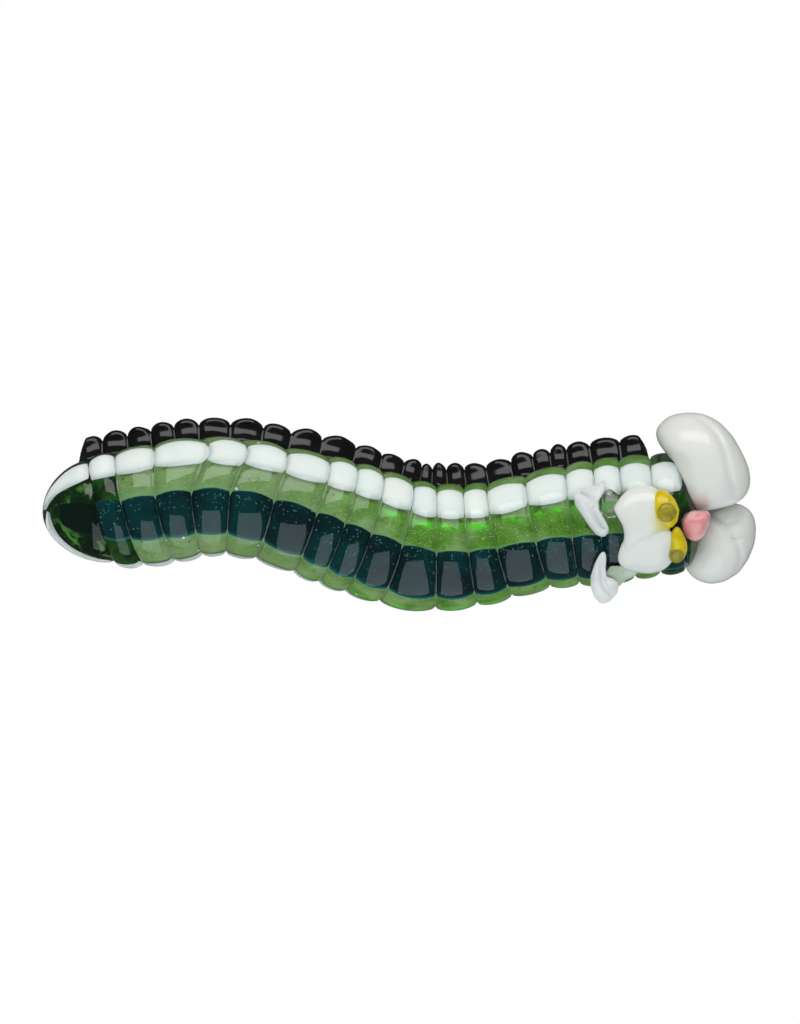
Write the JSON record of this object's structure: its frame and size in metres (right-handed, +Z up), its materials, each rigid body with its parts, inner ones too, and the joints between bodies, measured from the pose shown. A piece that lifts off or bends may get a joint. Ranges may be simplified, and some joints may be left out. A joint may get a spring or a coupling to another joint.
{
  "type": "glass larva figurine",
  "caption": "Hand-made glass larva: a ribbed, striped clear-cased rod in a lazy S on two rows of black crimped feet, with a white-cheeked animal face.",
  "frame": {"origin": "on the floor under the middle of the object's bounding box", "axes": "+X along the body from the tail to the cheeks, +Z up out of the back with the teal stripe, +Y to the larva's left"},
  "size_m": [0.18, 0.0514, 0.037],
  "materials": {
    "clear_glass": "fire-polished clear glass, smooth and glossy",
    "green_glitter_glass": "translucent green glass full of fine silver and gold glitter",
    "dark_green_glass": "deep green glass, almost black in the thick, glossy",
    "teal_glass": "dark teal glass with fine sparkling specks",
    "white_opal_glass": "white opal glass, slightly translucent at its edges",
    "black_glass": "opaque black glass, fire-polished",
    "ivory_glass": "ivory white opal glass, fire-polished",
    "pink_glass": "opaque pink glass, fire-polished",
    "yellow_glass": "transparent yellow over white, glossy",
    "olive_glass": "translucent olive green glass with a tiny bubble"
  },
  "bodies": {
    "root": {"clear_casing": "clear_glass", "glitter_core": "green_glitter_glass", "tail_cap": "dark_green_glass", "dorsal_stripe": "teal_glass", "left_side_stripe": "white_opal_glass", "right_side_stripe": "white_opal_glass", "left_foot_row": "black_glass", "right_foot_row": "black_glass", "left_cheek": "ivory_glass", "right_cheek": "ivory_glass", "nose": "pink_glass", "left_eye": "yellow_glass", "right_eye": "yellow_glass", "left_pupil": "olive_glass", "right_pupil": "olive_glass", "left_brow": "ivory_glass", "right_brow": "ivory_glass", "left_ear_rim": "white_opal_glass", "right_ear_rim": "white_opal_glass", "left_ear_web": "clear_glass", "right_ear_web": "clear_glass"}
  },
  "joints": []
}
